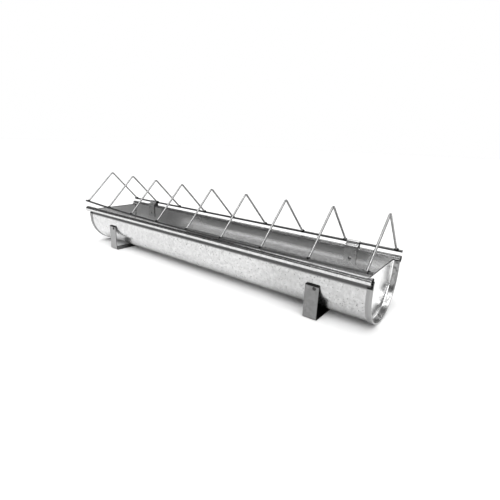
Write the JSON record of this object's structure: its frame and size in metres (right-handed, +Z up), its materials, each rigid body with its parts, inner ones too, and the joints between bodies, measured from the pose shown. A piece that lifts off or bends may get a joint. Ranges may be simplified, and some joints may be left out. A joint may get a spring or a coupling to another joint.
{
  "type": "poultry trough feeder",
  "caption": "Half-round galvanized sheet trough with rolled rims, closed ends and strap feet, under a hinged grille of bent wire hoops that keeps birds out of the feed.",
  "frame": {"origin": "middle of the feeder's length and width, on the floor it stands on", "axes": "+X along the trough, +Z up, -Y the front, where the grille's loose rail lies on the rim; the hinge side is +Y"},
  "size_m": [0.5, 0.1032, 0.1205],
  "materials": {
    "galvanized_sheet": "hot-dip galvanized sheet, bright with a faint spangle",
    "galvanized_strap": "dull galvanized strap, a shade darker than the sheet",
    "galvanized_wire": "drawn galvanized wire",
    "rivet_steel": "zinc-plated rivet, dark and dull"
  },
  "bodies": {
    "trough": {"trough_body": "galvanized_sheet", "end_plate_left": "galvanized_sheet", "end_plate_right": "galvanized_sheet", "foot_left": "galvanized_strap", "foot_right": "galvanized_strap", "foot_rivet_left_front": "rivet_steel", "foot_rivet_left_rear": "rivet_steel", "foot_rivet_right_front": "rivet_steel", "foot_rivet_right_rear": "rivet_steel", "hinge_clip_left": "galvanized_strap", "hinge_clip_right": "galvanized_strap", "clip_rivet_left": "rivet_steel", "clip_rivet_right": "rivet_steel"},
    "grille": {"rail_front": "galvanized_wire", "rail_rear": "galvanized_wire", "hoop_1": "galvanized_wire", "hoop_2": "galvanized_wire", "hoop_3": "galvanized_wire", "hoop_4": "galvanized_wire", "hoop_5": "galvanized_wire", "hoop_6": "galvanized_wire", "hoop_7": "galvanized_wire", "hoop_8": "galvanized_wire", "hoop_9": "galvanized_wire"}
  },
  "joints": [
    {"name": "grille_hinge", "type": "hinge", "parent": "trough", "child": "grille", "pos_m": [0, 0.0492, 0.0689], "axis": [-1, 0, 0], "range_deg": [0, 180]}
  ]
}
